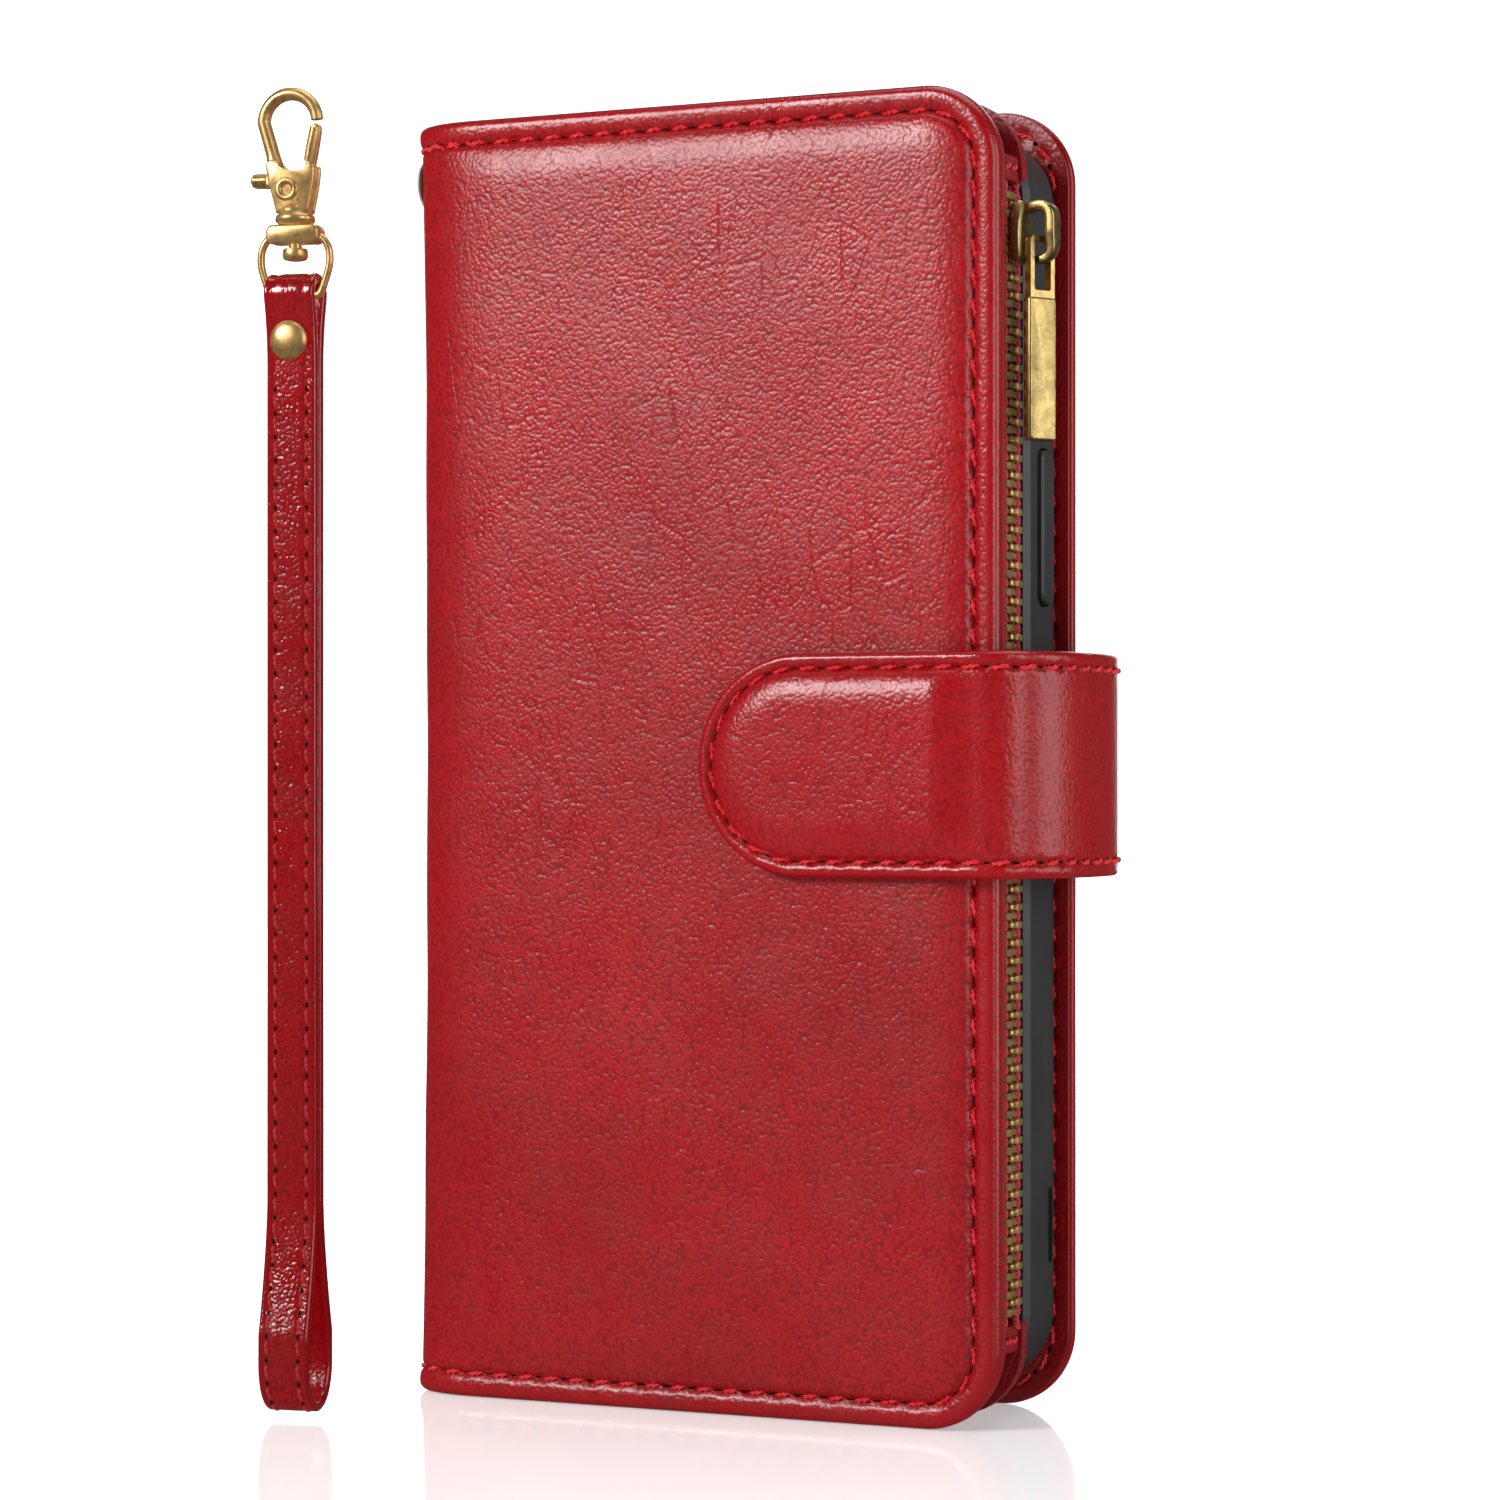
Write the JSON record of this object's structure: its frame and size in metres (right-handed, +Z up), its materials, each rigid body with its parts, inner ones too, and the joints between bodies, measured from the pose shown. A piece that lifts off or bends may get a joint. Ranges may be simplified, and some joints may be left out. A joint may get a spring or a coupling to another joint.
{
  "type": "phone wallet case",
  "caption": "Book-style leather phone case with a padded cover, zipped side pocket, magnetic closing flap, rubber phone shell and a wrist strap on a swivel hook.",
  "frame": {"origin": "middle of the back cover's bottom edge, on the surface the closed case stands on", "axes": "+X towards the opening edge with the zip, -Y towards the padded front cover, +Z up the case"},
  "size_m": [0.0939, 0.0558, 0.1593],
  "materials": {
    "leather": "polished pull-up leather, fine pebble grain",
    "lining": "matt dark red leatherette",
    "board": "grey board",
    "foam": "thin foam pad",
    "shell_rubber": "matt black rubber",
    "brass": "antique brass",
    "tape": "woven tape",
    "steel": "plain"
  },
  "bodies": {
    "root": {"back_cover_leather": "leather", "back_cover_board": "board", "back_cover_lining": "lining", "shell_adhesive_pad": "board", "phone_shell": "shell_rubber", "flap_base": "leather"},
    "power_button": {"power_button": "shell_rubber"},
    "volume_up_button": {"volume_up_button": "shell_rubber"},
    "volume_down_button": {"volume_down_button": "shell_rubber"},
    "spine": {"spine_leather": "leather", "spine_lining": "lining", "strap_eyelet": "steel"},
    "front_cover": {"front_cover_leather": "leather", "front_cover_foam": "foam", "front_cover_board": "board", "front_cover_lining": "leather", "front_cover_magnet": "steel", "pocket_panel": "leather", "card_slot_upper": "lining", "card_slot_middle": "lining", "card_slot_lower": "lining", "gusset_top": "lining", "gusset_bottom": "lining", "zip_teeth_front": "brass", "zip_teeth_rear": "brass", "zip_tape_front": "tape", "zip_tape_rear": "tape", "zip_tab_top": "leather", "zip_tab_bottom": "leather"},
    "zip_slider": {"zip_slider": "brass"},
    "zip_puller": {"zip_puller": "brass"},
    "flap_loop": {"flap_loop_leather": "leather", "flap_loop_lining": "lining"},
    "flap_tip": {"flap_tip_leather": "leather", "flap_pad": "foam", "flap_tip_lining": "lining", "flap_magnet": "steel"},
    "hook": {"hook_body": "brass", "trigger_pin": "brass"},
    "hook_trigger": {"hook_trigger": "brass"},
    "swivel_ring": {"swivel_ring": "brass"},
    "strap": {"strap_leather": "leather", "strap_rivet": "brass"}
  },
  "joints": [
    {"name": "spine_fold", "type": "hinge", "parent": "root", "child": "spine", "pos_m": [-0.0391, 0, 0.079], "axis": [0, 0, -1], "range_deg": [0, 90], "deforming": ["flap_loop_leather", "flap_loop_lining", "flap_tip_leather", "flap_pad", "flap_tip_lining", "flap_magnet"]},
    {"name": "cover_fold", "type": "hinge", "parent": "spine", "child": "front_cover", "pos_m": [-0.0391, -0.0234, 0.079], "axis": [0, 0, -1], "range_deg": [0, 90]},
    {"name": "zip_slide", "type": "slide", "parent": "front_cover", "child": "zip_slider", "axis": [0, 0, -1], "range_m": [0, 0.115]},
    {"name": "puller_swing", "type": "hinge", "parent": "zip_slider", "child": "zip_puller", "pos_m": [0.0418, -0.01785, 0.1399], "axis": [0, -1, 0], "range_deg": [0, 95]},
    {"name": "flap_hinge", "type": "hinge", "parent": "root", "child": "flap_loop", "pos_m": [0.04075, 0.0031, 0.0781], "axis": [0, 0, 1], "range_deg": [0, 120]},
    {"name": "flap_fold", "type": "hinge", "parent": "flap_loop", "child": "flap_tip", "pos_m": [0.03975, -0.0274, 0.0781], "axis": [0, 0, 1], "range_deg": [0, 90]},
    {"name": "power_button_press", "type": "slide", "parent": "root", "child": "power_button", "axis": [-1, 0, 0], "range_m": [0, 0.0005], "stiffness_N_per_m": 600},
    {"name": "volume_up_press", "type": "slide", "parent": "root", "child": "volume_up_button", "axis": [1, 0, 0], "range_m": [0, 0.0005], "stiffness_N_per_m": 600},
    {"name": "volume_down_press", "type": "slide", "parent": "root", "child": "volume_down_button", "axis": [1, 0, 0], "range_m": [0, 0.0005], "stiffness_N_per_m": 600},
    {"name": "strap_lift", "type": "slide", "parent": "front_cover", "child": "hook", "axis": [0, 0, 1], "range_m": [0, 0.04]},
    {"name": "trigger_pull", "type": "hinge", "parent": "hook", "child": "hook_trigger", "pos_m": [-0.04249, -0.04799, 0.1469], "axis": [0.1736, -0.9848, 0], "range_deg": [0, 20], "stiffness_Nm_per_rad": 0.002, "springref_deg": -5.73},
    {"name": "hook_swivel", "type": "hinge", "parent": "hook", "child": "swivel_ring", "pos_m": [-0.042, -0.0479, 0.1416], "axis": [0, 0, 1], "continuous": true},
    {"name": "strap_swing", "type": "hinge", "parent": "swivel_ring", "child": "strap", "pos_m": [-0.042, -0.0479, 0.1343], "axis": [0.9848, 0.1736, 0], "range_deg": [-75, 75]}
  ],
  "couplings": [
    {"joint": "cover_fold", "follows": "spine_fold", "ratio": 1},
    {"joint": "flap_fold", "follows": "flap_hinge", "ratio": 0.75}
  ]
}
